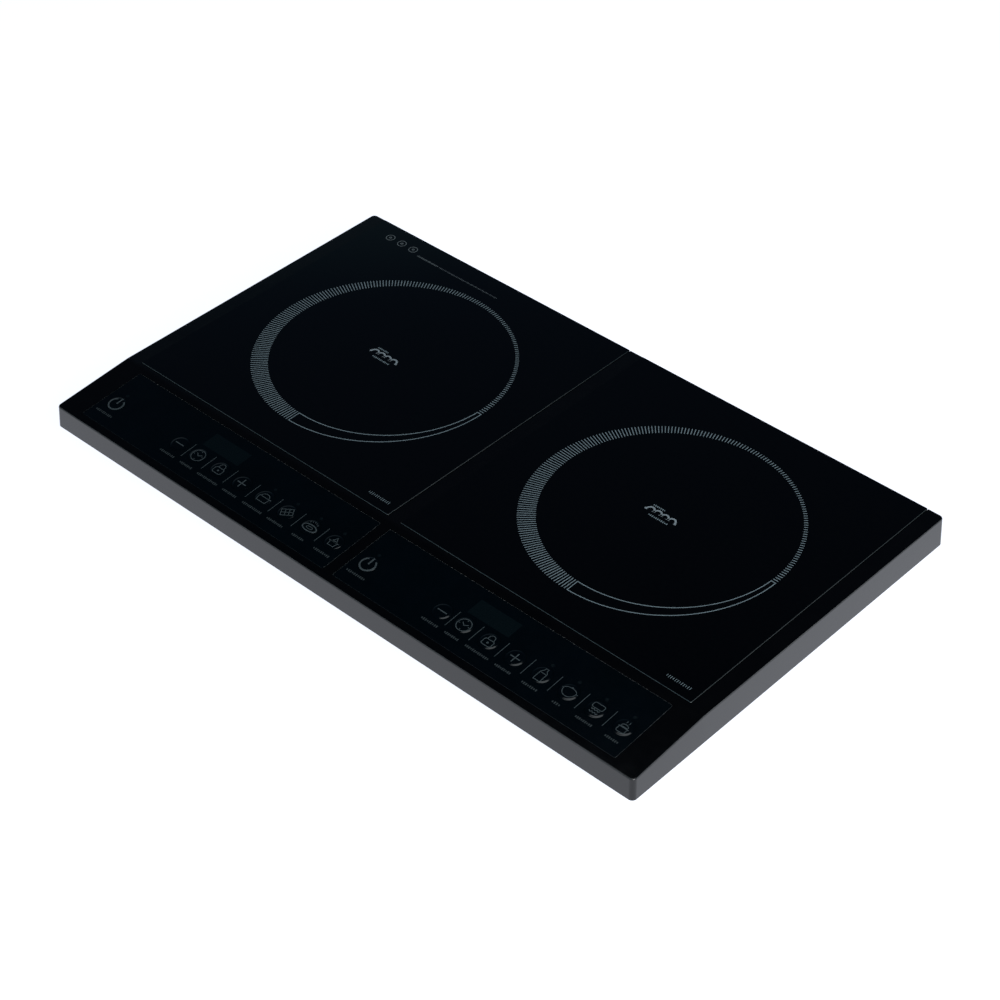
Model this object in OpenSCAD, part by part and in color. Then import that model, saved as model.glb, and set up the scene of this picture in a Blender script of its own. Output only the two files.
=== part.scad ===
// Electric induction cooktop with two cooking zones for a worktop or table.
// A moulded black top frame carries two glass plates and a sloped control
// panel along the front. A moulded tray underneath holds, for each zone, the
// coil, the power board, the fan and the control board.
// Frame: millimetres, +Z up, the front faces -Y, and the origin lies on the
// table below the middle of the body.

/* [Body] */
// Width of the top frame along its top edge
body_w = 600; // [596:1:606]
// Depth of the top frame along its top edge
body_d = 355; // [353:1:358]
// Height of the frame's skirt at the back
skirt_h = 25.6; // [25:0.1:27]
// Height of the skirt's lower edge above the table
skirt_z = 30; // [30:0.5:32]
// How far the skirt flares out on each side at its lower edge
flare = 1; // [0.5:0.1:1.5]
// Wall thickness of the mouldings
wall = 2.5; // [2.3:0.1:2.7]
// Radius of the vertical corners
corner_r = 4; // [3:0.5:6]
// Height of the rubber feet
foot_h = 6; // [5:0.5:6]

/* [Glass] */
// Width of the frame beside each outer edge of the glass
side_margin = 14.5; // [13:0.5:16]
// Width of the strip between the two glass plates
strip_w = 13; // [12:0.5:14]
// Thickness of each glass plate
glass_t = 4; // [3.5:0.5:4]
// How far the glass stands above the frame
glass_proud = 0.8; // [0.5:0.1:1]
// Gap between the glass and the back edge of the frame
glass_rear_gap = 0.9; // [0.8:0.1:1.5]
// Width of the ledge that carries the glass
ledge_w = 8; // [7:0.5:9]

/* [Control panel] */
// Slope of the control panel in degrees
panel_slope = 4.94; // [4.5:0.1:5.5]
// Depth of the sloped panel from the front edge to its crease
panel_d = 74; // [73.5:0.1:74.5]
// Width of each control film
film_w = 272.4; // [271:0.1:273]
// Depth of each control film
film_d = 60.7; // [60:0.1:61]
// Diameter of each key's raised dome
key_d = 16; // [15:0.5:16]
// Travel of a key
key_travel = 0.4; // [0.3:0.1:0.4]

/* [Cooking zones] */
// Distance of each coil's centre from the middle of the body
zone_x = 145.5; // [145:0.5:147]
// Distance of the coils' centres behind the middle of the body
zone_y = 35.7; // [34:0.1:38]
// Outer radius of the winding
winding_r = 85; // [80:1:86]
// Outer radius of the coil former
former_r = 93; // [92:0.5:94]
// Number of blades on each fan
blades = 7; // [5:1:9]

/* [Hidden] */
$fn = 48;
tiny = 0.01;
frame_black = [0.035, 0.035, 0.04];
film_black = [0.012, 0.03, 0.045];
glass_black = [0.01, 0.01, 0.015];
sides = ["left", "right"];
keys = ["power_key", "minus_key", "timer_key", "lock_key", "plus_key",
        "program_1_key", "program_2_key", "program_3_key", "program_4_key"];

// Heights
frame_top = skirt_z + skirt_h;
glass_top = frame_top + glass_proud;
seal_t = 0.4;
ledge_top = glass_top - glass_t - seal_t;
ledge_t = 2;
floor_top = foot_h + wall;
flange_top = skirt_z + wall;
board_z = 15;
board_t = 1.6;
board_top = board_z + board_t;

// Plan of the frame and the glass
front_y = -body_d / 2;
rear_y = body_d / 2;
crease_y = front_y + panel_d;
glass_w = body_w / 2 - side_margin - strip_w / 2;
glass_front_y = crease_y + 3.1;
glass_rear_y = rear_y - glass_rear_gap;
glass_d = glass_rear_y - glass_front_y;
glass_x = strip_w / 2 + glass_w / 2;
glass_y = (glass_front_y + glass_rear_y) / 2;
pocket_gap = 0.3;
pocket_wall = 2.2;

// Control films: left edges, front edge, and the places on a film
film_t = 0.4;
film_recess = 0.7;
film_left = [-body_w / 2 + 22.7, body_w / 2 - 22.7 - film_w];
film_front = 7.5;
key_row = 32;
lamp_row = 43.5;
key_along = [13.2, 88.2, 109.6, 134.2, 159, 184.2, 209.2, 234.2, 259.4];
lamp_along = [for (i = [0, 5, 6, 7, 8]) key_along[i]];
display_along = 121.5;
display_row = 51.5;
display_w = 40;
display_d = 14;

// Keys, measured down from the panel's face
key_rim = film_recess - film_t;
key_under = 1;
key_dome = 0.5;
key_flat_r = 5.7;
key_gap = 0.2;
key_well = key_under + key_travel + 0.1;
key_well_d = key_d + 1;
stem_r = 2.75;
stem_end = 4.8;
plunger_r = 1.7;
plunger_end = 6.4;
switch_w = 6.2;
switch_top = 5.4;
switch_bore_r = 1.8;
switch_bore_depth = 1.6;
card_top = 9;
card_t = 1.6;
card_w = 264;
card_d = 46;
card_mid_row = 38;
card_screw_x = 126;
card_screw_y = 18;

// Tray
tray_inset_top = 16;
tray_inset_floor = 26;
tray_skin = 2.7;
flange_gap = 0.4;
foot_at = [for (x = [-1, 0, 1]) for (y = [-1, 1]) [x * 235, y * 112]];
boss_r = 4.5;
case_pilot_r = 1.65;
rim_screws = concat(
    [for (x = [-1, 1]) for (y = [-140, -40, 60, 150]) [x * (body_w / 2 - 9), y]],
    [for (x = [-150, 0, 150]) [x, front_y + 9.5]],
    [for (x = [-100, 100]) [x, rear_y - 9.5]]);
mid_screws = [[0, -60], [0, 40]];
mid_boss_z = 20;

// Power electronics, from the middle of each zone
board_w = 240;
board_front = -140;
board_rear = 22;
board_holes = [for (x = [-112, 112]) for (y = [-132, 14]) [x, y]];
sink_w = 104;
sink_front = -40;
sink_rear = 15;
sink_top = 35.5;
post_r = 4;
post_at = [for (a = [30, 150, 270]) zone_y * [0, 1] + 88 * [cos(a), sin(a)]];

// Coil
former_z = 37;
bar_h = 4;
bar_w = 10;
bar_in = 36;
bar_out = 84;
disc_z = former_z + 5;
disc_t = 2;
winding_z = disc_z + disc_t;
winding_t = 2.8;
winding_in = 27;

// Fan
fan_y = 80;
fan_w = 92;
fan_h = 25;
duct_r = 44;
rotor_r = 42.5;
hub_r = 18;
fan_base_t = 3;
shaft_r = 1.5;
shaft_gap = 0.03;

// Mains inlet
gland_z = 19;
gland_bore_r = 4.1;
gland_neck_r = 7;
pad_front = 149;
pad_rear = rear_y - tray_inset_top;
lead_r = 1.4;
lead_z = 12;

// ---- Shared shapes ----

// Points of an arc about c, from angle a0 to a1 in n steps
function arc(c, r, a0, a1, n) =
    [for (i = [0 : n]) c + r * [cos(a0 + (a1 - a0) * i / n), sin(a0 + (a1 - a0) * i / n)]];

// Outline of a rectangle with round corners, centred on the origin
function rounded(w, d, r, n = 6) = concat(
    arc([w / 2 - r, d / 2 - r], r, 0, 90, n),
    arc([r - w / 2, d / 2 - r], r, 90, 180, n),
    arc([r - w / 2, r - d / 2], r, 180, 270, n),
    arc([w / 2 - r, r - d / 2], r, 270, 360, n));

// Zone side as a sign, -1 on the left and 1 on the right
function sign_of(side) = side == "left" ? -1 : 1;

// How far the drafted skirt stands out at a height
function draft(z) = flare * (frame_top - z) / skirt_h;

// Flat plate with round corners, standing on z = 0
module plate(w, d, h, r) {
    linear_extrude(h) polygon(rounded(w, d, r));
}

// Block between two heights that tapers from one rounded rectangle to another
module taper(w0, d0, w1, d1, z0, z1, r) {
    translate([0, 0, z0])
        linear_extrude(z1 - z0, scale = [w1 / w0, d1 / d0], slices = 1) polygon(rounded(w0, d0, r));
}

// The frame's outside between two heights, reduced by an inset on every side
module drafted(z0, z1, inset) {
    e0 = 2 * (draft(z0) - inset);
    e1 = 2 * (draft(z1) - inset);
    taper(body_w + e0, body_d + e0, body_w + e1, body_d + e1, z0, z1, max(corner_r - inset, 1));
}

// Box from one corner to the other
module box(low, high) {
    translate(low) cube(high - low);
}

// Places its children in one zone
module in_zone(side) {
    translate([sign_of(side) * zone_x, 0, 0]) children();
}

// Panel coordinates: x as the body, y up the slope from the crease, z out of the panel
module on_panel() {
    translate([0, crease_y, frame_top]) rotate([panel_slope, 0, 0]) children();
}

// A place on a control film: distance from its left edge and from the body's front edge
module on_film(side, along, row) {
    left = film_left[side == "left" ? 0 : 1];
    on_panel() translate([left + along, (row - panel_d) / cos(panel_slope), 0]) children();
}

// Everything above the panel's plane when that is lowered by a drop
module above_panel(drop) {
    on_panel() translate([-body_w, -2 * panel_d, -drop]) cube([2 * body_w, 4 * panel_d, 60]);
}

// Round hole or pin along z between two heights
module rod(r, z0, z1) {
    translate([0, 0, z0]) cylinder(r = r, h = z1 - z0);
}

// Pan-head screw with its head's seat at z = 0 and its shank going up
module screw(head_r, head_h, shank_r, shank_l) {
    difference() {
        union() {
            rod(head_r, -head_h, 0);
            rod(shank_r, -0.2, shank_l);
        }
        for (a = [0, 90])
            rotate(a) box([-head_r * 0.62, -0.4, -head_h - 1], [head_r * 0.62, 0.4, -head_h * 0.35]);
    }
}

// Insulated wire through a list of points
module wire(path, r) {
    for (i = [0 : len(path) - 2]) {
        d = path[i + 1] - path[i];
        reach = norm(d);
        translate(path[i]) rotate([0, acos(d[2] / reach), atan2(d[1], d[0])]) cylinder(r = r, h = reach);
    }
    for (i = [1 : len(path) - 2])
        translate(path[i]) sphere(r = r * 1.04);
}

// ---- Casing ----

// Ledge under the edge of one glass plate, as a solid block
module glass_ledge(side) {
    grow = pocket_gap + pocket_wall;
    x = sign_of(side) * glass_x;
    box([x - glass_w / 2 - grow, glass_front_y - pocket_gap - pocket_wall, ledge_top - ledge_t],
        [x + glass_w / 2 + grow, rear_y - wall / 2, frame_top - 0.5]);
}

// Pocket for the glass and the open window below it
module glass_pocket(side) {
    x = sign_of(side) * glass_x;
    box([x - glass_w / 2 - pocket_gap, glass_front_y - pocket_gap, ledge_top],
        [x + glass_w / 2 + pocket_gap, rear_y + 5, frame_top + 5]);
    box([x - glass_w / 2 + ledge_w, glass_front_y + ledge_w, ledge_top - ledge_t - 1],
        [x + glass_w / 2 - ledge_w, glass_rear_y - ledge_w, ledge_top + 1]);
}

// Recess for a control film, with the wells of its keys and the holes for its lamps
module film_openings(side) {
    on_film(side, film_w / 2, film_front + film_d / 2)
        translate([0, 0, -film_recess]) plate(film_w + 0.4, film_d + 0.4, 5, 1.5);
    for (along = key_along)
        on_film(side, along, key_row) {
            rod(key_well_d / 2, -key_well, 1);
            rod(stem_r + 0.25, -wall - 1, 1);
        }
    for (along = lamp_along)
        on_film(side, along, lamp_row) rod(1.8, -wall - 1, 1);
    on_film(side, display_along, display_row)
        box([-display_w / 2 - 1, -display_d / 2 - 1, -wall - 1], [display_w / 2 + 1, display_d / 2 + 1, 1]);
}

// Screw places of a control board, from its centre
module card_screws(side) {
    for (x = [-1, 1]) for (y = [-1, 1])
        on_film(side, film_w / 2, card_mid_row) translate([x * card_screw_x, y * card_screw_y, 0]) children();
}

module top_frame() {
    color(frame_black) difference() {
        union() {
            difference() {
                drafted(skirt_z, frame_top, 0);
                difference() {
                    drafted(skirt_z - 1, frame_top - wall, wall);
                    above_panel(wall);
                }
            }
            for (s = sides)
                glass_ledge(s);
            for (p = rim_screws)
                translate(p) rod(boss_r, flange_top, p[1] > rear_y - 20 ? ledge_top - 0.5 : frame_top - 1);
            for (p = mid_screws)
                translate(p) rod(boss_r, mid_boss_z, frame_top - 1);
            for (s = sides)
                card_screws(s) rod(3, -card_top, -wall + 0.5);
        }
        above_panel(0);
        for (s = sides) {
            glass_pocket(s);
            film_openings(s);
            card_screws(s) rod(1.45, -card_top - 1, -wall - 0.5);
        }
        for (p = rim_screws)
            translate(p) rod(case_pilot_r, flange_top - 1, flange_top + 12);
        for (p = mid_screws)
            translate(p) rod(case_pilot_r, mid_boss_z - 1, mid_boss_z + 12);
    }
}

// Slots of one fan's inlet grille through the floor
module inlet_grille() {
    pitch = 8.5;
    for (i = [-4 : 4]) {
        half = sqrt(pow(duct_r - 3, 2) - pow(i * pitch, 2));
        box([i * pitch - 2.25, -half, foot_h - 1], [i * pitch + 2.25, half, floor_top + 1]);
    }
}

// Outlet slots through the back and side walls
module outlet_slots() {
    for (x = [-240 : 10 : 240])
        if (abs(x) > 30)
            box([x - 2, rear_y - 40, 13], [x + 2, rear_y, 26]);
    for (s = [-1, 1]) for (y = [-60 : 10 : 120])
        translate([s * (body_w / 2 - 20), y, 0]) box([-20, -2, 13], [20, 2, 26]);
}

module bottom_tray() {
    w0 = body_w - 2 * tray_inset_floor;
    d0 = body_d - 2 * tray_inset_floor;
    w1 = body_w - 2 * tray_inset_top;
    d1 = body_d - 2 * tray_inset_top;
    skin = 2 * tray_skin;
    rim = 2 * (draft(skirt_z) - wall - flange_gap);
    color([0.06, 0.06, 0.065]) difference() {
        union() {
            difference() {
                union() {
                    taper(w0, d0, w1, d1, foot_h, skirt_z, 14);
                    translate([0, 0, skirt_z]) plate(body_w + rim, body_d + rim, wall, 2);
                }
                taper(w0 - skin, d0 - skin, w1 - skin, d1 - skin, floor_top, flange_top + 1, 12);
            }
            for (s = sides) {
                in_zone(s) {
                    for (p = board_holes)
                        translate(p) rod(3.5, floor_top - 1, board_z);
                    for (p = post_at)
                        translate(p) rod(post_r, floor_top - 1, former_z);
                }
            }
            for (p = mid_screws)
                translate(p) rod(boss_r, floor_top - 1, mid_boss_z);
            for (x = [-24, 24]) for (y = [70, 100])
                translate([x, y]) rod(3, floor_top - 1, lead_z);
            box([-14, pad_front, floor_top - 1], [14, pad_rear, skirt_z + 1]);
        }
        for (s = sides) {
            in_zone(s) {
                translate([0, fan_y]) inlet_grille();
                for (p = board_holes)
                    translate(p) rod(1.5, board_z - 6, board_z + 1);
                for (p = post_at)
                    translate(p) rod(1.5, former_z - 8, former_z + 1);
            }
        }
        outlet_slots();
        for (p = rim_screws)
            translate(p) rod(2, skirt_z - 1, flange_top + 1);
        for (p = mid_screws)
            translate(p) {
                rod(2, foot_h - 1, mid_boss_z + 1);
                rod(3.6, foot_h - 1, mid_boss_z - 3);
            }
        for (p = foot_at)
            translate(p) rod(4, foot_h - 1, floor_top + 1);
        translate([0, pad_front - 1, gland_z]) rotate([-90, 0, 0]) rod(gland_neck_r, 0, pad_rear - pad_front + 2);
    }
}

module rubber_feet() {
    color([0.02, 0.02, 0.02]) for (p = foot_at)
        translate(p) {
            cylinder(r1 = 10, r2 = 12, h = foot_h);
            rod(3.9, foot_h - 1, floor_top + 1);
        }
}

module case_screws() {
    color("silver") {
        for (p = rim_screws)
            translate([p[0], p[1], skirt_z]) screw(3.2, 1.8, 1.6, 12);
        for (p = mid_screws)
            translate([p[0], p[1], mid_boss_z - 3]) screw(3.2, 1.8, 1.6, 12);
    }
}

// Screws of the power boards, coil formers and control boards
module inner_screws() {
    color("silver") for (s = sides) {
        in_zone(s) {
            for (p = board_holes)
                translate([p[0], p[1], board_top]) mirror([0, 0, 1]) screw(2.8, 1.6, 1.4, 6);
            for (p = post_at)
                translate([p[0], p[1], former_z + 2]) mirror([0, 0, 1]) screw(2.8, 1.6, 1.4, 8);
        }
        card_screws(s) translate([0, 0, -card_top - card_t]) screw(2.8, 1.6, 1.4, 6);
    }
}

// Blank plate under the tray
module rating_plate() {
    color("silver") translate([-zone_x, -60, foot_h - 0.3]) plate(72, 40, 0.3, 2);
}

// ---- Mains inlet ----

module cord_gland() {
    color([0.03, 0.03, 0.03]) translate([0, 0, gland_z]) rotate([-90, 0, 0]) difference() {
        union() {
            rod(gland_neck_r - 0.1, pad_front - 1, pad_rear + 1);
            rod(10, pad_rear, pad_rear + 2.5);
            rod(6.5, pad_rear + 1, pad_rear + 5);
            rod(10, pad_front - 4, pad_front);
        }
        rod(gland_bore_r, pad_front - 5, pad_rear + 6);
    }
}

module terminal_block() {
    color("ivory") difference() {
        box([-24, 118, floor_top], [24, 136, floor_top + 16]);
        for (x = [-15, 0, 15]) {
            translate([x, 127]) rod(2.6, floor_top + 6, floor_top + 17);
            translate([x, 0, floor_top + 6]) rotate([-90, 0, 0]) rod(2, 130, 140);
        }
    }
}

// Filter board with its choke and suppression capacitor
module mains_filter() {
    color([0.1, 0.3, 0.15]) translate([0, 85, lead_z]) plate(60, 44, board_t, 1);
    color([0.7, 0.45, 0.2]) translate([-14, 85, lead_z + board_t]) difference() {
        rod(12, 0, 11);
        rod(6, -1, 12);
    }
    color([0.85, 0.75, 0.2]) box([6, 76, lead_z + board_t], [24, 94, lead_z + board_t + 14]);
}

// Mains leads from the block to the filter and on to both power boards, and the
// flat cables that join each control board to its power board
module wiring_harness() {
    colours = ["saddlebrown", "royalblue", "yellowgreen"];
    run_z = lead_z - 2;
    for (i = [0 : 2]) {
        color(colours[i]) {
            x = (i - 1) * 15;
            wire([[x, 118, floor_top + 6], [x, 112, floor_top + 6], [x, 107, floor_top + 6]], lead_r);
            for (s = [-1, 1]) {
                run_x = s * (8 + 3.5 * i);
                turn_y = -24 + 8 * i;
                edge = s * (zone_x - board_w / 2);
                wire([[run_x, 63, run_z], [run_x, turn_y, run_z], [s * 21.5, turn_y, run_z],
                      [s * 21.5, turn_y, board_top + 5], [edge + s * 4, turn_y, board_top + 5]], lead_r);
            }
        }
    }
    color("gainsboro") for (s = sides)
        in_zone(s) box([54, -131, board_top], [70, -130, frame_top - 13.2]);
}

// ---- Glass ----

module glass(side) {
    color(glass_black) translate([sign_of(side) * glass_x, glass_y, glass_top - glass_t])
        plate(glass_w, glass_d, glass_t, 2);
}

// Silicone bead between the ledge and the glass
module glass_seal(side) {
    color("dimgray") translate([sign_of(side) * glass_x, glass_y, ledge_top]) difference() {
        plate(glass_w - 2, glass_d - 2, seal_t, 2);
        translate([0, 0, -1]) plate(glass_w - 12, glass_d - 12, seal_t + 2, 2);
    }
}

// ---- Controls ----

// Printed film in its recess, with a hole around each raised key
module control_film(side) {
    color(film_black) difference() {
        on_film(side, film_w / 2, film_front + film_d / 2)
            translate([0, 0, -film_recess]) plate(film_w, film_d, film_t, 1.3);
        for (along = key_along)
            on_film(side, along, key_row) rod(key_d / 2 + key_gap, -film_recess - 1, 1);
    }
}

// Domed key with the stem that reaches its switch
module key(side, index) {
    color(film_black) on_film(side, key_along[index], key_row) {
        rotate_extrude() polygon([[0, -key_under], [0, key_dome - key_rim], [key_flat_r, key_dome - key_rim],
            [key_d / 2, -key_rim], [key_d / 2, -key_under]]);
        rod(stem_r, -stem_end, -key_under + 0.1);
        rod(plunger_r, -plunger_end, -stem_end + 0.1);
    }
}

module key_switches(side) {
    color([0.15, 0.15, 0.16]) for (along = key_along)
        on_film(side, along, key_row) difference() {
            box([-switch_w / 2, -switch_w / 2, -card_top], [switch_w / 2, switch_w / 2, -switch_top]);
            rod(switch_bore_r, -switch_top - switch_bore_depth, -switch_top + 1);
        }
}

module control_board(side) {
    color([0.1, 0.3, 0.15]) difference() {
        on_film(side, film_w / 2, card_mid_row) translate([0, 0, -card_top - card_t]) plate(card_w, card_d, card_t, 2);
        card_screws(side) rod(1.6, -card_top - card_t - 1, -card_top + 1);
    }
}

// Numeric display and the indicator lamps, standing on the control board
module display(side) {
    lens = 1.2;
    color([0.2, 0.21, 0.2]) on_film(side, display_along, display_row)
        box([-display_w / 2, -display_d / 2, -card_top], [display_w / 2, display_d / 2, -lens]);
    color([0.75, 0.2, 0.15]) for (along = lamp_along)
        on_film(side, along, lamp_row) {
            rod(1.5, -card_top, -lens);
            rod(1.9, -card_top, -card_top + 1);
        }
}

// ---- Coil ----

// One channel for a ferrite bar under the former's disc
module bar_channel(a) {
    rotate(a) for (s = [-1, 1])
        translate([0, s * (bar_w / 2 + 0.9), 0])
            box([bar_in - 2, -0.7, former_z], [bar_out + 2, 0.7, disc_z + 0.5]);
}

module coil_former(side) {
    rim_notch = 4;
    color([0.75, 0.72, 0.65]) in_zone(side) difference() {
        union() {
            translate([0, zone_y]) {
                difference() {
                    rod(former_r, disc_z, winding_z);
                    for (a = [0 : 60 : 300])
                        rotate(a + 30) box([40, -11, disc_z - 1], [78, 11, winding_z + 1]);
                }
                difference() {
                    rod(former_r, winding_z - 0.5, winding_z + 2.5);
                    rod(former_r - 2, winding_z - 1, winding_z + 3);
                }
                difference() {
                    rod(26, winding_z - 0.5, winding_z + 2.5);
                    rod(24, winding_z - 1, winding_z + 3);
                }
                for (a = [0 : 60 : 300])
                    bar_channel(a);
            }
            for (p = post_at)
                translate(p) rod(post_r + 1, former_z, disc_z + 0.5);
        }
        translate([0, zone_y]) {
            rod(7, disc_z - 1, winding_z + 1);
            for (a = [250, 290])
                rotate(a) box([former_r - 4, -rim_notch / 2, winding_z - 3], [former_r + 4, rim_notch / 2, winding_z + 3]);
        }
        for (p = post_at)
            translate(p) {
                rod(1.7, former_z - 1, disc_z + 3);
                rod(3.2, former_z + 2, disc_z + 5);
            }
    }
}

// Flat winding with its two leads down to the power board
module coil_winding(side) {
    lead_out = former_r + 3;
    color([0.72, 0.36, 0.2]) in_zone(side) translate([0, zone_y]) {
        difference() {
            rod(winding_r, winding_z, winding_z + winding_t);
            rod(winding_in, winding_z - 1, winding_z + winding_t + 1);
        }
        for (a = [250, 290])
            rotate(a) wire([[winding_r - 1, 0, winding_z + winding_t / 2], [lead_out, 0, winding_z + winding_t / 2],
                            [lead_out, 0, board_top]], 1.2);
    }
}

module ferrite_bars(side) {
    color([0.16, 0.16, 0.17]) in_zone(side) translate([0, zone_y]) for (a = [0 : 60 : 300])
        rotate(a) box([bar_in, -bar_w / 2, disc_z - bar_h], [bar_out, bar_w / 2, disc_z]);
}

// Thermistor holder that touches the glass from below
module temp_sensor(side) {
    color("white") in_zone(side) translate([0, zone_y]) {
        rod(6.8, disc_z - 4, winding_z);
        rod(9, winding_z, winding_z + 2);
        rod(5, winding_z + 1, ledge_top + seal_t);
    }
}

// ---- Power electronics ----

module main_board(side) {
    color([0.1, 0.3, 0.15]) in_zone(side) difference() {
        box([-board_w / 2, board_front, board_z], [board_w / 2, board_rear, board_top]);
        for (p = board_holes)
            translate(p) rod(1.6, board_z - 1, board_top + 1);
        translate(post_at[2]) rod(post_r + 2, board_z - 1, board_top + 1);
    }
    color([0.15, 0.15, 0.15]) in_zone(side) {
        box([-98, -96, board_top], [-74, -72, board_top + 16]);
        box([-98, -62, board_top], [-78, -50, board_top + 12]);
        box([20, -118, board_top], [36, -106, board_top + 2.5]);
        box([48, -129, board_top], [76, -124, board_top + 5]);
    }
    color([0.7, 0.45, 0.2]) in_zone(side) translate([84, -60]) difference() {
        rod(15, board_top, board_top + 13);
        rod(7, board_top - 1, board_top + 14);
    }
    color("silver") in_zone(side) {
        for (x = [-1, 1]) for (i = [0 : 2])
            translate([x * (board_w / 2 - 9), -24 + 8 * i]) box([-4, -2, board_top], [4, 2, board_top + 7]);
    }
}

module heatsink(side) {
    fin_pitch = 8;
    color([0.75, 0.76, 0.78]) in_zone(side) {
        box([-sink_w / 2, sink_front, board_top], [sink_w / 2, sink_rear, board_top + 4]);
        box([-sink_w / 2, sink_front, board_top + 3], [sink_w / 2, sink_front + 3, sink_top]);
        for (x = [-sink_w / 2 : fin_pitch : sink_w / 2 - 1])
            box([x, sink_front + 2, board_top + 3], [x + 1.6, sink_rear, sink_top]);
    }
}

// Transistors and bridge rectifier held against the heatsink's front
module power_devices(side) {
    color([0.1, 0.1, 0.1]) in_zone(side) for (x = [-32, -12, 14, 36]) {
        box([x - 8, sink_front - 4.6, board_top + 3], [x + 8, sink_front, board_top + 19]);
        for (i = [-1, 0, 1])
            box([x + i * 5 - 0.6, sink_front - 2.8, board_top], [x + i * 5 + 0.6, sink_front - 2, board_top + 4]);
    }
}

module capacitors(side) {
    color([0.75, 0.6, 0.15]) in_zone(side) {
        box([-60, -110, board_top], [-28, -92, board_top + 20]);
        box([-20, -90, board_top], [12, -72, board_top + 20]);
    }
    color([0.1, 0.15, 0.3]) in_zone(side) {
        translate([44, -84]) rod(8, board_top, board_top + 20);
        translate([100, -104]) rod(5, board_top, board_top + 12);
        translate([86, -104]) rod(5, board_top, board_top + 12);
    }
}

// ---- Fan ----

module fan_housing(side) {
    base_z = floor_top + fan_h - fan_base_t;
    color([0.1, 0.1, 0.1]) in_zone(side) translate([0, fan_y]) difference() {
        union() {
            difference() {
                translate([0, 0, floor_top]) plate(fan_w, fan_w, fan_h, 4);
                rod(duct_r, floor_top - 1, floor_top + fan_h + 1);
            }
            rod(hub_r - 1, base_z, floor_top + fan_h);
            for (a = [45 : 90 : 315])
                rotate(a) box([hub_r - 3, -2, base_z], [duct_r + 2, 2, floor_top + fan_h]);
            rod(4, base_z - 2, base_z + 1);
        }
        rod(shaft_r + shaft_gap, base_z - 3, floor_top + fan_h - 1);
        for (x = [-1, 1]) for (y = [-1, 1])
            translate([x, y] * (fan_w / 2 - 5)) rod(2.1, floor_top - 1, floor_top + fan_h + 1);
    }
}

module fan_rotor(side) {
    low = floor_top + 2.5;
    top = floor_top + fan_h - fan_base_t - 2.5;
    shaft_top = floor_top + fan_h - 1.5;
    pitch_angle = 38;
    color([0.12, 0.12, 0.13]) in_zone(side) translate([0, fan_y]) {
        rod(hub_r, low, top);
        rod(shaft_r, top - 1, shaft_top);
        intersection() {
            for (i = [0 : blades - 1])
                rotate(i * 360 / blades) translate([hub_r - 2, 0, (low + top) / 2]) rotate([pitch_angle, 0, 0])
                    box([0, -15, -0.8], [rotor_r, 15, 0.8]);
            rod(rotor_r, low + 0.5, top - 0.5);
        }
    }
}

// ---- Assembly ----

top_frame();
bottom_tray();
rubber_feet();
case_screws();
inner_screws();
rating_plate();
cord_gland();
terminal_block();
mains_filter();
wiring_harness();
for (s = sides) {
    glass(s);
    glass_seal(s);
    control_film(s);
    for (i = [0 : len(keys) - 1])
        key(s, i);
    key_switches(s);
    control_board(s);
    display(s);
    coil_former(s);
    coil_winding(s);
    ferrite_bars(s);
    temp_sensor(s);
    main_board(s);
    heatsink(s);
    power_devices(s);
    capacitors(s);
    fan_housing(s);
    fan_rotor(s);
}
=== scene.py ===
"""The looks of an electric induction cooktop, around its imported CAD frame. Metres, +Z up, front at -Y."""
import math

import bmesh
import bpy
from mathutils import Matrix, Vector


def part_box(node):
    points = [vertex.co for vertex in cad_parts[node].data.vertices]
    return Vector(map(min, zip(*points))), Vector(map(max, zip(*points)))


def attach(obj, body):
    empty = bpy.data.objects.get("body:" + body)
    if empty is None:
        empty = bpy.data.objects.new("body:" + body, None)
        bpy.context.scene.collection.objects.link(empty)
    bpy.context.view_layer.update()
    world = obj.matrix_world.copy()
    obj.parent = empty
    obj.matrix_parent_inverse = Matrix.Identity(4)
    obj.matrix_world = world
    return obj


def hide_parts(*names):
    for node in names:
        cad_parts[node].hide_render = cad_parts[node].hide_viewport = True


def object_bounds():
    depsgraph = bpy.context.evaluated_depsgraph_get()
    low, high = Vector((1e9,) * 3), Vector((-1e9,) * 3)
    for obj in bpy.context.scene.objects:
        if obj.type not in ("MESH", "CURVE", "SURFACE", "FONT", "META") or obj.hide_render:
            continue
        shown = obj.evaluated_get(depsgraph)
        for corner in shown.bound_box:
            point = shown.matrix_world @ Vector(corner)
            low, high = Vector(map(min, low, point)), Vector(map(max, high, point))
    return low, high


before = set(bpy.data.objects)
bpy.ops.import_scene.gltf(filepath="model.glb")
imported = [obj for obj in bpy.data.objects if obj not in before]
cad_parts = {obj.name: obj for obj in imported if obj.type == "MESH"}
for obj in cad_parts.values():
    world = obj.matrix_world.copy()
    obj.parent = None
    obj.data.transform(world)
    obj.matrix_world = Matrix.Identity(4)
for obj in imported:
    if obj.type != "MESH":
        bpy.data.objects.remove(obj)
cad_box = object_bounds()
MM = 0.001
SIDES = ("left", "right")
KEYS = ("power", "minus", "timer", "lock", "plus", "program_1", "program_2", "program_3", "program_4")

# ---- Driving places, from the frame ----

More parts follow.
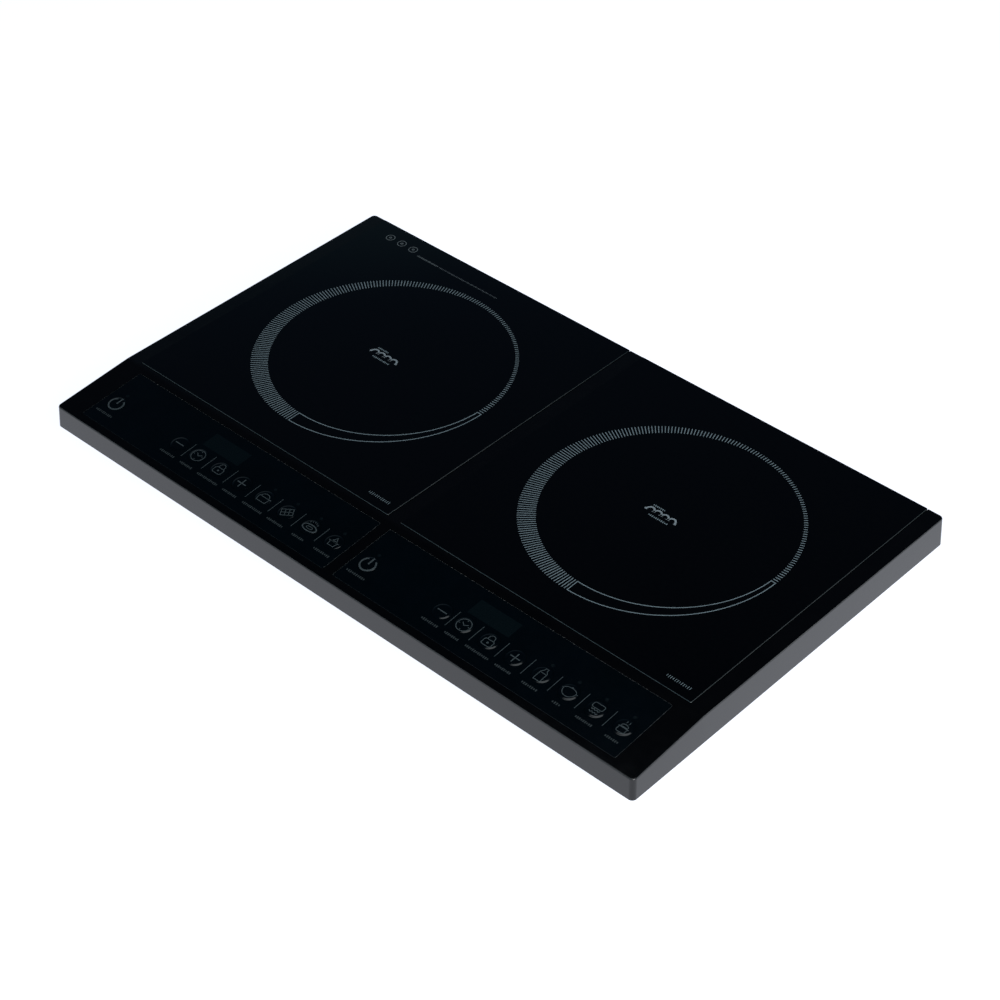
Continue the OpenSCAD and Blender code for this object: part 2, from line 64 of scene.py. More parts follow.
cad_high = cad_box[1]
SKIRT_Z = 30 * MM
FLARE = 1 * MM
GLASS_PROUD = 0.8 * MM
WALL = 2.5 * MM
SLOPE = math.radians(4.94)
glass_low, glass_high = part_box("left_glass")
FRAME_TOP = glass_high.z - GLASS_PROUD
HALF_W = cad_high.x - FLARE
HALF_D = cad_high.y - FLARE
PANEL_D = 74 * MM
CREASE_Y = -HALF_D + PANEL_D
CORNER_R = 4 * MM
TOP_ROUND = 1 * MM
FILM_RECESS = 0.7 * MM
FILM_T = 0.4 * MM
FILM_W = 272.4 * MM
FILM_D = 60.7 * MM
FILM_FRONT = 7.5 * MM
KEY_ROW = 32 * MM
LAMP_ROW = 43.5 * MM
DISPLAY_MID = 121.5 * MM
DISPLAY_HALF = 20.1 * MM
DISPLAY_OPENING = (100.5 * MM, 142.5 * MM, 43.5 * MM, 59.5 * MM)
KEY_R = 8 * MM
# Radius and height over the film in millimetres: the key's underside, the well around it, and its face.
KEY_BODY = ((1.7, -6.1), (1.7, -4.5), (2.75, -4.5), (2.75, -0.7), (8, -0.7))
KEY_WELL = ((3, -4), (3, -1.5), (8.5, -1.5), (8.5, 1))
KEY_DOME = ((0, 0.27), (5.5, 0.27), (6.1, 0.25), (6.5, 0.2), (7, 0.1), (7.4, 0.02), (7.6, 0), (8, 0))
INK_T = 0.03 * MM
BOARD_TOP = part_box("left_heatsink")[0].z
PANEL = Matrix.Translation((0, CREASE_Y, FRAME_TOP)) @ Matrix.Rotation(SLOPE, 4, "X")
FILM_FACE = FILM_T - FILM_RECESS
STRETCH = 1 / math.cos(SLOPE)


def film_matrix(side, lift=FILM_FACE):
    """Film coordinates: x from its left edge, y up the slope from the body's front, z out of the film."""
    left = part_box(f"{side}_control_film")[0].x
    return PANEL @ Matrix.Translation((left, -PANEL_D * STRETCH, lift))


def key_places(side):
    """The centres of the keys in film coordinates."""
    film_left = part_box(f"{side}_control_film")[0].x
    places = []
    for key in KEYS:
        low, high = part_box(f"{side}_{key}_key")
        places.append(Vector(((low.x + high.x) / 2 - film_left, KEY_ROW * STRETCH, 0)))
    return places


def lamp_places(side):
    """One indicator lamp behind the power key and each program key."""
    keys = key_places(side)
    return [Vector((k.x, LAMP_ROW * STRETCH, 0)) for k in (keys[0], *keys[5:])]


# ---- Materials ----

def new_material(name, colour, roughness, **sockets):
    """A material with one Principled shader, and the tree and shader to build on."""
    material = bpy.data.materials.new(name)
    material.use_nodes = True
    tree = material.node_tree
    shader = tree.nodes["Principled BSDF"]
    shader.inputs["Base Color"].default_value = (*colour, 1)
    shader.inputs["Roughness"].default_value = roughness
    for socket, value in sockets.items():
        shader.inputs[socket.replace("_", " ")].default_value = value
    return material, tree, shader


def noise(tree, scale, detail, rough=0.5, stretch=(1, 1, 1)):
    """Noise in object space, the same in every view."""
    where = tree.nodes.new("ShaderNodeTexCoord")
    place = tree.nodes.new("ShaderNodeMapping")
    place.inputs["Scale"].default_value = stretch
    node = tree.nodes.new("ShaderNodeTexNoise")
    node.inputs["Scale"].default_value = scale
    node.inputs["Detail"].default_value = detail
    node.inputs["Roughness"].default_value = rough
    tree.links.new(where.outputs["Object"], place.inputs["Vector"])
    tree.links.new(place.outputs["Vector"], node.inputs["Vector"])
    return node.outputs["Fac"]


def ramp(tree, value, low, high, at=(0.35, 0.65)):
    """A colour or value that runs from low to high with a noise."""
    node = tree.nodes.new("ShaderNodeValToRGB")
    for element, place, colour in zip(node.color_ramp.elements, at, (low, high)):
        element.position = place
        element.color = (*colour, 1) if isinstance(colour, tuple) else (colour, colour, colour, 1)
    tree.links.new(value, node.inputs["Fac"])
    return node.outputs["Color"]


def bump(tree, shader, height, strength, distance):
    """Adds a height to the shader's normal."""
    node = tree.nodes.new("ShaderNodeBump")
    node.inputs["Strength"].default_value = strength
    node.inputs["Distance"].default_value = distance
    tree.links.new(height, node.inputs["Height"])
    tree.links.new(node.outputs["Normal"], shader.inputs["Normal"])


def moulded(name, dark, light, roughness, grain=0.0):
    """Moulded plastic: slight variation in colour and gloss, and a fine grain."""
    material, tree, shader = new_material(name, dark, roughness[0])
    tree.links.new(ramp(tree, noise(tree, 28, 4), dark, light), shader.inputs["Base Color"])
    tree.links.new(ramp(tree, noise(tree, 90, 3), *roughness), shader.inputs["Roughness"])
    if grain:
        bump(tree, shader, noise(tree, 2600, 2), grain, 0.04 * MM)
    return material


def metal(name, dark, light, roughness, stretch=(1, 1, 1)):
    """Bare metal with fine scratches, which run along an axis where the stretch is small."""
    material, tree, shader = new_material(name, dark, roughness[0], Metallic=1.0)
    fine = noise(tree, 700, 4, 0.6, stretch)
    tree.links.new(ramp(tree, noise(tree, 60, 3), dark, light), shader.inputs["Base Color"])
    tree.links.new(ramp(tree, fine, *roughness), shader.inputs["Roughness"])
    bump(tree, shader, fine, 0.25, 0.02 * MM)
    return material


def ink(name, dark, light, roughness=0.5):
    """A printed ink with slight variation in its cover."""
    material, tree, shader = new_material(name, dark, roughness)
    tree.links.new(ramp(tree, noise(tree, 900, 2), dark, light), shader.inputs["Base Color"])
    return material


def painted_highlight_edge(name, dark, light, cover):
    """The cut edge of a film, with a painted highlight: bright flecks on a dark line."""
    material, tree, shader = new_material(name, dark, 0.4)
    tree.links.new(ramp(tree, noise(tree, 420, 3, 0.7), dark, light, cover), shader.inputs["Base Color"])
    return material


def frame_plastic():
    """Black plastic with a satin gloss, faint flow marks and a fine grain."""
    material, tree, shader = new_material("frame_plastic", (0.0008, 0.0008, 0.001), 0.16)
    tint = ramp(tree, noise(tree, 22, 5, 0.6), (0.0005, 0.0005, 0.0007), (0.0011, 0.0011, 0.0013))
    tree.links.new(tint, shader.inputs["Base Color"])
    tree.links.new(ramp(tree, noise(tree, 120, 4), 0.1, 0.13), shader.inputs["Roughness"])
    bump(tree, shader, noise(tree, 2200, 2), 0.05, 0.015 * MM)
    return material


def black_glass():
    """Polished ceramic glass, dyed through, with a faint smear in its gloss."""
    material, tree, shader = new_material("black_glass", (0.0003, 0.0004, 0.0006), 0.03, IOR=1.52)
    tint = ramp(tree, noise(tree, 300, 3), (0.0002, 0.0003, 0.0005), (0.0005, 0.0006, 0.0008))
    tree.links.new(tint, shader.inputs["Base Color"])
    tree.links.new(ramp(tree, noise(tree, 14, 3), 0.025, 0.06), shader.inputs["Roughness"])
    return material


def film_plastic():
    """Printed polycarbonate film: very dark blue, with a satin face."""
    material, tree, shader = new_material("control_film", (0.0002, 0.0014, 0.0024), 0.14)
    tint = ramp(tree, noise(tree, 40, 3), (0.0001, 0.0012, 0.0021), (0.0002, 0.0016, 0.0028))
    tree.links.new(tint, shader.inputs["Base Color"])
    tree.links.new(ramp(tree, noise(tree, 160, 2), 0.1, 0.12), shader.inputs["Roughness"])
    return material


def circuit_board():
    """Green solder resist with the copper tracks showing under it."""
    material, tree, shader = new_material("circuit_board", (0.01, 0.09, 0.03), 0.35)
    where = tree.nodes.new("ShaderNodeTexCoord")
    tracks = tree.nodes.new("ShaderNodeTexBrick")
    tracks.inputs["Color1"].default_value = (0.008, 0.075, 0.028, 1)
    tracks.inputs["Color2"].default_value = (0.012, 0.095, 0.034, 1)
    tracks.inputs["Mortar"].default_value = (0.03, 0.16, 0.05, 1)
    tracks.inputs["Scale"].default_value = 60
    tracks.inputs["Mortar Size"].default_value = 0.03
    tree.links.new(where.outputs["Object"], tracks.inputs["Vector"])
    tree.links.new(tracks.outputs["Color"], shader.inputs["Base Color"])
    bump(tree, shader, tracks.outputs["Fac"], 0.3, 0.03 * MM)
    return material


def litz(name, dark, light):
    """Stranded enamelled copper: fine ridges of strands and a warm gloss."""
    material, tree, shader = new_material(name, dark, 0.35, Metallic=0.7)
    strands = noise(tree, 1500, 2, 0.5, (1, 1, 3))
    tree.links.new(ramp(tree, strands, dark, light), shader.inputs["Base Color"])
    bump(tree, shader, strands, 0.5, 0.08 * MM)
    return material


def make_materials():
    """Every material, by its name in this script."""
    return {
        "frame": frame_plastic(),
        # A paler copy of the frame plastic: a painted highlight for the frame's rounded outer edge.
        "frame_edge_painted_glint": moulded("frame_edge_painted_glint", (0.03, 0.034, 0.037), (0.05, 0.055, 0.058), (0.15, 0.3)),
        "tray": moulded("tray_plastic", (0.010, 0.010, 0.011), (0.017, 0.017, 0.018), (0.42, 0.55), 0.8),
        "rubber": moulded("foot_rubber", (0.012, 0.012, 0.012), (0.02, 0.02, 0.019), (0.7, 0.85), 0.6),
        "glass": black_glass(),
        # The glass's ground top chamfer in two painted copies: a pale one as a painted highlight along the
        # front, a dim one along the right side.
        "ground_front_painted_highlight": ink("ground_glass_front_painted_highlight", (0.015, 0.028, 0.034), (0.04, 0.056, 0.062), 0.3),
        "ground_side_dim_painted_highlight": ink("ground_glass_side_dim_painted_highlight", (0.004, 0.010, 0.013), (0.008, 0.017, 0.02), 0.3),
        "film": film_plastic(),
        # Copies of the film's cut edge as painted highlights: bright at the rear, fainter on the sides and
        # faintest at the front.
        "rear_edge_painted_highlight": painted_highlight_edge("film_rear_edge_painted_highlight", (0.006, 0.010, 0.013), (0.24, 0.25, 0.25), (0.48, 0.64)),
        "side_edge_painted_highlight": painted_highlight_edge("film_side_edge_painted_highlight", (0.01, 0.015, 0.018), (0.14, 0.16, 0.165), (0.4, 0.7)),
        "front_edge_painted_highlight": painted_highlight_edge("film_front_edge_painted_highlight", (0.0015, 0.004, 0.006), (0.03, 0.045, 0.05), (0.5, 0.8)),
        "ring_ink": ink("ring_ink", (0.15, 0.21, 0.24), (0.2, 0.27, 0.3)),
        "coil_ink": ink("coil_ink", (0.2, 0.25, 0.28), (0.26, 0.32, 0.35)),
        "sign_ink": ink("sign_ink", (0.032, 0.047, 0.053), (0.048, 0.066, 0.073)),
        "label_ink": ink("label_ink", (0.018, 0.027, 0.03), (0.028, 0.038, 0.042)),
        "faint_ink": ink("faint_ink", (0.09, 0.115, 0.13), (0.14, 0.175, 0.185)),
        "window": ink("display_window", (0.0012, 0.0040, 0.0052), (0.0017, 0.0048, 0.0062), 0.14),
        "lamp": ink("lamp_window", (0.0022, 0.005, 0.0064), (0.0029, 0.006, 0.0075), 0.16),
        "steel": metal("zinc_plated_steel", (0.55, 0.56, 0.58), (0.68, 0.69, 0.7), (0.25, 0.4)),
        "plate": metal("plate_foil", (0.62, 0.62, 0.64), (0.74, 0.74, 0.76), (0.3, 0.45), (0.05, 1, 1)),
        "sink": metal("heatsink_metal", (0.6, 0.61, 0.63), (0.74, 0.75, 0.77), (0.3, 0.5), (1, 0.05, 1)),
        "tinned": metal("tinned_tab", (0.7, 0.7, 0.69), (0.82, 0.82, 0.8), (0.2, 0.35)),
        "gland": moulded("gland_plastic", (0.012, 0.012, 0.012), (0.02, 0.02, 0.02), (0.35, 0.5), 0.4),
        "terminal": moulded("terminal_plastic", (0.62, 0.6, 0.52), (0.72, 0.7, 0.62), (0.3, 0.45), 0.3),
        "box_film": moulded("capacitor_cases", (0.5, 0.36, 0.05), (0.6, 0.44, 0.08), (0.25, 0.4), 0.3),
        "sleeve": moulded("capacitor_sleeve", (0.01, 0.02, 0.08), (0.015, 0.03, 0.11), (0.2, 0.3)),
        "brown": moulded("live_wire", (0.09, 0.035, 0.012), (0.12, 0.05, 0.018), (0.35, 0.5), 0.2),
        "blue": moulded("neutral_wire", (0.02, 0.06, 0.35), (0.03, 0.08, 0.42), (0.35, 0.5), 0.2),
        "green": moulded("earth_wire", (0.25, 0.4, 0.03), (0.32, 0.48, 0.05), (0.35, 0.5), 0.2),
        "ribbon": moulded("flat_cable", (0.45, 0.45, 0.46), (0.55, 0.55, 0.56), (0.4, 0.55), 0.2),
        "silicone": moulded("silicone", (0.07, 0.07, 0.07), (0.1, 0.1, 0.1), (0.45, 0.6), 0.3),
        "switch": moulded("switch_plastic", (0.02, 0.02, 0.02), (0.035, 0.035, 0.035), (0.4, 0.55), 0.4),
        "board": circuit_board(),
        "display": moulded("display_plastic", (0.03, 0.032, 0.03), (0.05, 0.052, 0.05), (0.15, 0.25)),
        "red_lamp": moulded("lamp_lens", (0.45, 0.03, 0.02), (0.55, 0.05, 0.03), (0.1, 0.2)),
        "former": moulded("former_plastic", (0.5, 0.47, 0.41), (0.6, 0.57, 0.5), (0.5, 0.65), 0.5),
        "litz": litz("litz_wire", (0.42, 0.15, 0.06), (0.72, 0.32, 0.15)),
        "ferrite": moulded("ferrite", (0.03, 0.03, 0.033), (0.06, 0.06, 0.062), (0.55, 0.75), 1.0),
        "ceramic": moulded("sensor_ceramic", (0.72, 0.72, 0.69), (0.8, 0.8, 0.78), (0.5, 0.65), 0.4),
        "epoxy": moulded("power_plastic", (0.012, 0.012, 0.012), (0.022, 0.022, 0.022), (0.45, 0.6), 0.7),
        "fan": moulded("fan_plastic", (0.014, 0.014, 0.014), (0.024, 0.024, 0.024), (0.35, 0.5), 0.3),
        "rotor": moulded("rotor_plastic", (0.018, 0.018, 0.019), (0.028, 0.028, 0.03), (0.3, 0.45), 0.3),
    }


M = make_materials()

# ---- Mesh building ----


def finish_mesh(name, mesh, material=None, smooth=None):
    """An object from a bmesh, with outward normals and, if an angle is given, smooth shading up to it."""
    bmesh.ops.recalc_face_normals(mesh, faces=mesh.faces)
    data = bpy.data.meshes.new(name)
    mesh.to_mesh(data)
    mesh.free()
    thing = bpy.data.objects.new(name, data)
    bpy.context.scene.collection.objects.link(thing)
    if material:
        data.materials.append(M[material])
    if smooth:
        shade(thing, smooth)
    return thing


def apply_modifier(thing, modifier):
    with bpy.context.temp_override(object=thing, active_object=thing):
        bpy.ops.object.modifier_apply(modifier=modifier.name)


def shade(thing, angle):
    """Smooth shading up to an angle, with the large faces kept flat."""
    thing.data.shade_smooth()
    thing.data.set_sharp_from_angle(angle=math.radians(angle))
    modifier = thing.modifiers.new("flat_faces", "WEIGHTED_NORMAL")
    modifier.keep_sharp = True
    modifier.weight = 100
    apply_modifier(thing, modifier)


def boolean(target, mesh, operation):
    """Applies one exact boolean with the solid in a bmesh."""
    tool = finish_mesh("tool", mesh)
    modifier = target.modifiers.new("cut", "BOOLEAN")
    modifier.operation = operation
    modifier.solver = "EXACT"
    modifier.object = tool
    apply_modifier(target, modifier)
    bpy.data.objects.remove(tool)


def arc(centre, radius, start, end, steps, squash=1.0):
    """Points of an arc, angles in degrees, flattened along y by squash."""
    angles = (math.radians(start + (end - start) * i / steps) for i in range(steps + 1))
    return [(centre[0] + radius * math.cos(a), centre[1] + radius * squash * math.sin(a)) for a in angles]


def circle(centre, radius, steps=48):
    return arc(centre, radius, 0, 360, steps)[:-1]


def polar(reach, angle):
    return (reach * math.cos(math.radians(angle)), reach * math.sin(math.radians(angle)))


def box_outline(x0, x1, y0, y1):
    return [(x0, y0), (x1, y0), (x1, y1), (x0, y1)]


def round_rect(w, d, r, steps=6, centre=(0, 0)):
    """Outline of a rectangle with round corners, anticlockwise from its right side."""
    points = []
    for i, (sx, sy) in enumerate(((1, 1), (-1, 1), (-1, -1), (1, -1))):
        corner = (centre[0] + sx * (w / 2 - r), centre[1] + sy * (d / 2 - r))
        points += arc(corner, r, 90 * i, 90 * i + 90, steps)
    return points


def loft(mesh, loops, close=True):
    """Quads between loops of equal length, with flat caps on the first and last."""
    rings = [[mesh.verts.new(p) for p in loop] for loop in loops]
    for a, b in zip(rings, rings[1:]):
        for i in range(len(a)):
            j = (i + 1) % len(a)
            mesh.faces.new((a[i], a[j], b[j], b[i]))
    if close:
        mesh.faces.new(rings[0][::-1])
        mesh.faces.new(rings[-1])
    return rings


def level_loops(outlines, matrix=None):
    """Loops for loft from pairs of an outline and a height."""
    loops = [[Vector((x, y, z)) for x, y in outline] for outline, z in outlines]
    return [[matrix @ p for p in loop] for loop in loops] if matrix else loops


def raised(mesh, outline, low, high, matrix=None):
    """A flat closed solid over an outline, from one height to another."""
    loft(mesh, level_loops(((outline, low), (outline, high)), matrix))


def turned(mesh, profile, steps, matrix=None):
    """A closed solid of revolution from pairs of radius and height."""
    loft(mesh, level_loops([(circle((0, 0), r, steps), z) for r, z in profile], matrix))


def flat(x, y):
    return 0


def dense(points, closed=False, step=0.7):
    """The same path with no stretch longer than a step."""
    path = [Vector(p) for p in points]
    if closed:
        path.append(path[0])
    out = []
    for a, b in zip(path, path[1:]):
        parts = max(1, math.ceil((b - a).length / step))
        out += [a.lerp(b, i / parts) for i in range(parts)]
    return out if closed else out + [path[-1]]


def stroke(mesh, points, width, matrix, closed=False, surface=flat, lanes=1):
    """A thin solid line along a path, with mitred corners, laid on a surface in some lanes."""
    path = [Vector(p[:2]) for p in points]
    count = len(path)
    rows = []
    for i, p in enumerate(path):
        before = path[i - 1] if closed or i else None
        after = path[(i + 1) % count] if closed or i < count - 1 else None
        into = (p - before).normalized() if before is not None else None
        out = (after - p).normalized() if after is not None else None
        into = into or out
        out = out or into
        mitre = (into + out).normalized()
        side = Vector((-mitre.y, mitre.x))
        reach = width / 2 / max(0.4, side.dot(Vector((-out.y, out.x))))
        row = []
        for k in range(lanes + 1):
            q = p + side * reach * (1 - 2 * k / lanes)
            base = surface(q.x, q.y)
            row.append([mesh.verts.new(matrix @ Vector((q.x, q.y, base + z))) for z in (-INK_T, INK_T)])
        rows.append(row)
    for i in range(count if closed else count - 1):
        a, b = rows[i], rows[(i + 1) % count]
        for k in range(lanes):
            mesh.faces.new((a[k][1], a[k + 1][1], b[k + 1][1], b[k][1]))
            mesh.faces.new((b[k][0], b[k + 1][0], a[k + 1][0], a[k][0]))
        mesh.faces.new((a[0][0], a[0][1], b[0][1], b[0][0]))
        mesh.faces.new((b[-1][0], b[-1][1], a[-1][1], a[-1][0]))
    if not closed:
        for row in (rows[0], rows[-1]):
            mesh.faces.new([pair[0] for pair in row] + [pair[1] for pair in reversed(row)])


def tube(mesh, points, radius, sides=8):
    """A round closed tube along a path of points in space."""
    path = [Vector(p) for p in points]
    loops = []
    across = None
    for i, p in enumerate(path):
        ahead = (path[min(i + 1, len(path) - 1)] - path[max(i - 1, 0)]).normalized()
        if across is None:
            across = ahead.orthogonal().normalized()
        across = (across - ahead * across.dot(ahead)).normalized()
        up = ahead.cross(across)
        turns = (2 * math.pi * k / sides for k in range(sides))
        loops.append([p + (across * math.cos(t) + up * math.sin(t)) * radius for t in turns])
    loft(mesh, loops)


def print_on(mesh, name, material, body="housing"):
    """A finished print that rides on a body."""
    thing = finish_mesh(name, mesh, material)
    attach(thing, body)
    return thing


def stand_for(thing, node, body):
    """A finished piece in place of a CAD node."""
    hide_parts(node)
    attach(thing, body)


# ---- Top frame ----

CREASE_BLEND = 2 * MM
CREASE_STEPS = 4
CORNER_STEPS = 8
HALF_TURN = 2 * (CORNER_STEPS + 1)
POCKET_GAP = 0.3 * MM
POCKET_WALL = 2.2 * MM
LEDGE_T = 2 * MM
LEDGE_W = 8 * MM
SEAL_T = 0.4 * MM
FLANGE_TOP = SKIRT_Z + WALL
BOSS_R = 4.5 * MM
PILOT_R = 1.65 * MM
MID_BOSS_Z = 20 * MM
CARD_TOP = 9 * MM


def top_at(y):
    """Height of the frame's top over a place: level behind the crease, sloping down in front of it."""
    gap = y - CREASE_Y
    if gap > CREASE_BLEND:
        return FRAME_TOP
    if gap < -CREASE_BLEND:
        return FRAME_TOP + gap * math.tan(SLOPE)
    return FRAME_TOP - math.tan(SLOPE) * (CREASE_BLEND - gap) ** 2 / (4 * CREASE_BLEND)


def frame_outline(inset, z):
    """The skirt's outline at a height, with extra points at the crease on both sides."""
    out = FLARE * (FRAME_TOP - z) / (FRAME_TOP - SKIRT_Z) - inset
    w, d = HALF_W + out, HALF_D + out
    points = round_rect(2 * w, 2 * d, max(CORNER_R - inset, 0.6 * MM), CORNER_STEPS)
    crease = [CREASE_Y + CREASE_BLEND * (1 - 2 * k / CREASE_STEPS) for k in range(CREASE_STEPS + 1)]
    left_side = [(-w, y) for y in crease]
    right_side = [(w, y) for y in reversed(crease)]
    return points[:HALF_TURN] + left_side + points[HALF_TURN:] + right_side


def frame_block(mesh, inset, low, top_drop, edge):
    """A closed block with the frame's outline, cut by its level and sloping top, with a rounded top edge."""
    foot = 0.3 * MM
    base = inset + (foot if edge else 0)
    loops = level_loops([(frame_outline(base, low), low), (frame_outline(inset, low + foot), low + foot)])
    steps = 6 if edge else 0
    for k in range(steps + 1):
        turn = math.pi / 2 * k / max(steps, 1)
        extra = edge * (1 - math.cos(turn))
        drop = top_drop + edge * (1 - math.sin(turn))
        plan = frame_outline(inset + extra, FRAME_TOP - drop)
        loops.append([Vector((x, y, top_at(y) - drop)) for x, y in plan])
    rings = loft(mesh, loops, close=False)
    mesh.faces.new(rings[0][::-1])
    top = rings[-1]
    second = HALF_TURN + CREASE_STEPS + 1
    left = top[HALF_TURN:second]
    right = top[second + HALF_TURN:][::-1]
    mesh.faces.new(top[:HALF_TURN] + [left[0], right[0]])
    for i in range(CREASE_STEPS):
        mesh.faces.new((right[i], left[i], left[i + 1], right[i + 1]))
    mesh.faces.new([left[-1]] + top[second:second + HALF_TURN] + [right[-1]])


def boss_places():
    """Places of the screws that hold the tray: around the rim, along the back, and in the middle."""
    side = HALF_W - 9 * MM
    rim = [(x, y * MM) for x in (-side, side) for y in (-140, -40, 60, 150)]
    rim += [(x * MM, -HALF_D + 9.5 * MM) for x in (-150, 0, 150)]
    rear = [(x * MM, HALF_D - 9.5 * MM) for x in (-100, 100)]
    middle = [(0, -60 * MM), (0, 40 * MM)]
    return rim, rear, middle


def frame_bosses():
    """The screw bosses under the frame, and the posts of the control boards, with their pilot holes."""
    rim, rear, middle = boss_places()
    under_glass = glass_low.z - SEAL_T - 0.5 * MM
    solids, pilots = bmesh.new(), bmesh.new()
    for places, low, high in ((rim, FLANGE_TOP, FRAME_TOP), (rear, FLANGE_TOP, under_glass),
                              (middle, MID_BOSS_Z, FRAME_TOP)):
        for x, y in places:
            raised(solids, circle((x, y), BOSS_R, 24), low, min(high, top_at(y) - 1.8 * MM))
            raised(pilots, circle((x, y), PILOT_R, 16), low - 1 * MM, low + 12 * MM)
    for side in SIDES:
        matrix = film_matrix(side, 0)
        for x in (-126, 126):
            for y in (-18, 18):
                at = (FILM_W / 2 + x * MM, 38 * MM * STRETCH + y * MM)
                raised(solids, circle(at, 3 * MM, 24), -CARD_TOP, 0.8 * MM - WALL, matrix)
                raised(pilots, circle(at, 1.45 * MM, 16), -CARD_TOP - 1 * MM, -WALL - 0.5 * MM, matrix)
    return solids, pilots


def glass_cuts():
    """The pockets of the two plates and the open windows below them."""
    cuts = bmesh.new()
    for side in SIDES:
        low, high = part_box(f"{side}_glass")
        pocket = box_outline(low.x - POCKET_GAP, high.x + POCKET_GAP, low.y - POCKET_GAP, HALF_D + 5 * MM)
        raised(cuts, pocket, low.z - SEAL_T, FRAME_TOP + 5 * MM)
        raised(cuts, box_outline(low.x + LEDGE_W, high.x - LEDGE_W, low.y + LEDGE_W, high.y - LEDGE_W),
               low.z - 5 * MM, low.z + 1 * MM)
    return cuts


def film_cuts():
    """The recess of each film."""
    cuts = bmesh.new()
    for side in SIDES:
        middle = (FILM_W / 2, (FILM_FRONT + FILM_D / 2) * STRETCH)
        raised(cuts, round_rect(FILM_W + 0.4 * MM, FILM_D + 0.4 * MM, 1.5 * MM, 4, middle),
               -FILM_RECESS, 4 * MM, film_matrix(side, 0))
    return cuts


def key_cuts():
    """The wells and stem holes of the keys, and the openings of the lamps and the display."""
    cuts = bmesh.new()
    for side in SIDES:
        matrix = film_matrix(side, 0)
        for p in key_places(side):
            turned(cuts, [(r * MM, z * MM) for r, z in KEY_WELL], 48, matrix @ Matrix.Translation(p))
        for p in lamp_places(side):
            raised(cuts, circle((p.x, p.y), 1.8 * MM, 24), -4 * MM, 1 * MM, matrix)
        raised(cuts, box_outline(*DISPLAY_OPENING), -4 * MM, 1 * MM, matrix)
    return cuts


def make_frame():
    """The moulded frame as one shell, with a painted highlight along its rounded outer edge: a paler plastic
    on those faces.
    """
    mesh = bmesh.new()
    frame_block(mesh, 0, SKIRT_Z, 0, TOP_ROUND)
    shell = finish_mesh("frame_shell", mesh, "frame")
    cavity = bmesh.new()
    frame_block(cavity, WALL, SKIRT_Z - 4 * MM, WALL, 0)
    boolean(shell, cavity, "DIFFERENCE")
    ledges = bmesh.new()
    grow = POCKET_GAP + POCKET_WALL
    for side in SIDES:
        low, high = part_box(f"{side}_glass")
        raised(ledges, box_outline(low.x - grow, high.x + grow, low.y - grow, HALF_D - 1.2 * MM),
               low.z - SEAL_T - LEDGE_T, FRAME_TOP - 0.6 * MM)
    boolean(shell, ledges, "UNION")
    solids, pilots = frame_bosses()
    boolean(shell, solids, "UNION")
    boolean(shell, glass_cuts(), "DIFFERENCE")
    boolean(shell, film_cuts(), "DIFFERENCE")
    boolean(shell, key_cuts(), "DIFFERENCE")
    boolean(shell, pilots, "DIFFERENCE")
    shade(shell, 28)
    # Painted highlight: the rounded edge faces along the front and sides that lean between up and out get the
    # paler plastic, standing in for the glint of light on the rounding.
    shell.data.materials.append(M["frame_edge_painted_glint"])
    for face in shell.data.polygons:
        x, y, z = face.center
        outer = max(abs(x) - HALF_W, -y - HALF_D) > -1.2 * MM
        face.material_index = int(outer and z > SKIRT_Z + 4 * MM and 0.5 < face.normal.z < 0.9)
    stand_for(shell, "top_frame", "housing")


# ---- Glass and its prints ----

GLASS_CHAMFER = 0.32 * MM
GLASS_CORNER_R = 0.9 * MM
RING_R = 108 * MM
RING_INNER = 99.5 * MM
RING_SHIFT = 5.6 * MM
RING_X = 145.5 * MM
RING_Y = 35.7 * MM
RING_TICKS = 192
RING_PITCH = 360 / 256
LINE = 0.7 * MM


def make_glass(side):
    """One plate with a ground edge whose top chamfer carries painted highlights: pale along the front, dim
    along the right side, none at the rear and left.
    """
    low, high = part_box(f"{side}_glass")
    size, centre = high - low, (low + high) / 2
    levels = ((GLASS_CHAMFER, low.z), (0, low.z + GLASS_CHAMFER),
              (0, high.z - GLASS_CHAMFER), (GLASS_CHAMFER, high.z))
    mesh = bmesh.new()
    loft(mesh, level_loops([
        (round_rect(size.x - 2 * inset, size.y - 2 * inset, GLASS_CORNER_R - inset, 4, centre), z)
        for inset, z in levels]))
    # Painted highlight: front chamfer faces get the pale ground-edge colour, right chamfer faces the dim one;
    # the others stay black glass.
    for face in mesh.faces:
        middle = face.calc_center_median()
        if high.z - GLASS_CHAMFER < middle.z < high.z - 0.1 * GLASS_CHAMFER:
            if middle.y < low.y + MM:
                face.material_index = 1
            elif middle.x > high.x - MM:
                face.material_index = 2
    plate = finish_mesh(f"{side}_glass_plate", mesh, "glass")
    plate.data.materials.append(M["ground_front_painted_highlight"])
    plate.data.materials.append(M["ground_side_dim_painted_highlight"])
    shade(plate, 30)
    stand_for(plate, f"{side}_glass", "housing")


def inner_reach(angle):
    """Distance from the ring's centre to its inner circle, which is shifted to the back right."""
    turn = math.radians(angle - 45)
    return RING_SHIFT * math.cos(turn) + math.sqrt(RING_INNER ** 2 - (RING_SHIFT * math.sin(turn)) ** 2)


def make_ring(side, x):
    """The printed cooking ring: radial ticks for three quarters and an outline for the last."""
    matrix = Matrix.Translation((x, RING_Y, glass_high.z))
    mesh = bmesh.new()
    for i in range(RING_TICKS):
        angle = (i + 0.5) * RING_PITCH
        stroke(mesh, [polar(inner_reach(angle), angle), polar(RING_R, angle)], LINE, matrix)
    start, end, steps = (RING_TICKS + 0.5) * RING_PITCH, 359.3, 40
    angles = [start + (end - start) * i / steps for i in range(steps + 1)]
    outer = [polar(RING_R - LINE / 2, a) for a in angles]
    inner = [polar(inner_reach(a) + LINE / 2, a) for a in reversed(angles)]
    stroke(mesh, outer + inner, LINE, matrix, closed=True)
    print_on(mesh, f"{side}_ring_print", "ring_ink")


